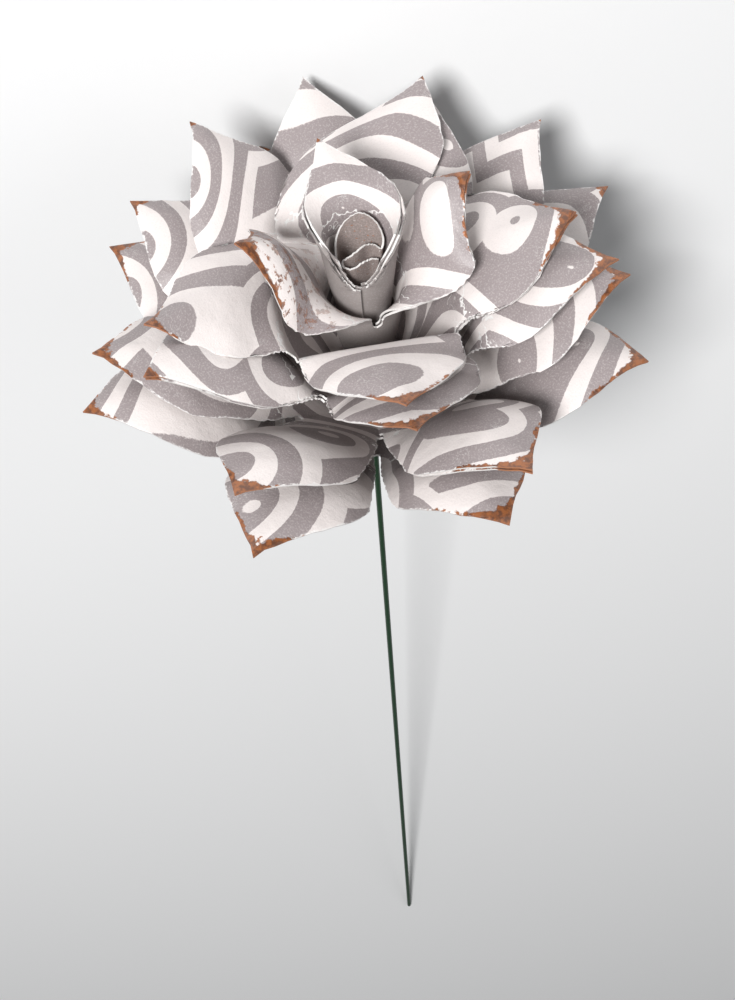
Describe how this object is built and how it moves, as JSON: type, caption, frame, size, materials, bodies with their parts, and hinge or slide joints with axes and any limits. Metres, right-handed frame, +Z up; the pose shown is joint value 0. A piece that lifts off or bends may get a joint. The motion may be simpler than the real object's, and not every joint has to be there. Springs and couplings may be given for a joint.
{
  "type": "paper flower",
  "caption": "Layered paper flower with pointed, bent petals round a rolled bud, on a thin straight wire stem, lying on its side.",
  "frame": {"origin": "centre of the object's box, on the surface that it lies on", "axes": "+Z up; +Y along the stem from the flower to the stem's end, on the table; the flower's face looks to -Y and up"},
  "size_m": [0.0964, 0.3294, 0.0937],
  "materials": {
    "printed_paper": "matt uncoated paper printed with warm grey bands, copper paint dabbed on the petal tips, white torn edges and cracks",
    "bud_paper": "matt taupe paper with copper specks and white edges",
    "hot_glue": "cloudy clear hot-melt glue, semi-gloss",
    "stem_cover": "dark green satin covering on steel floral wire"
  },
  "bodies": {
    "root": {"outer_ring": "printed_paper", "second_ring": "printed_paper", "third_ring": "printed_paper", "fourth_ring": "printed_paper", "inner_pair": "printed_paper", "bud_wrap": "printed_paper", "bud_core_roll": "bud_paper", "base_glue": "hot_glue", "bud_glue": "hot_glue", "stem_wire": "stem_cover"}
  },
  "joints": []
}
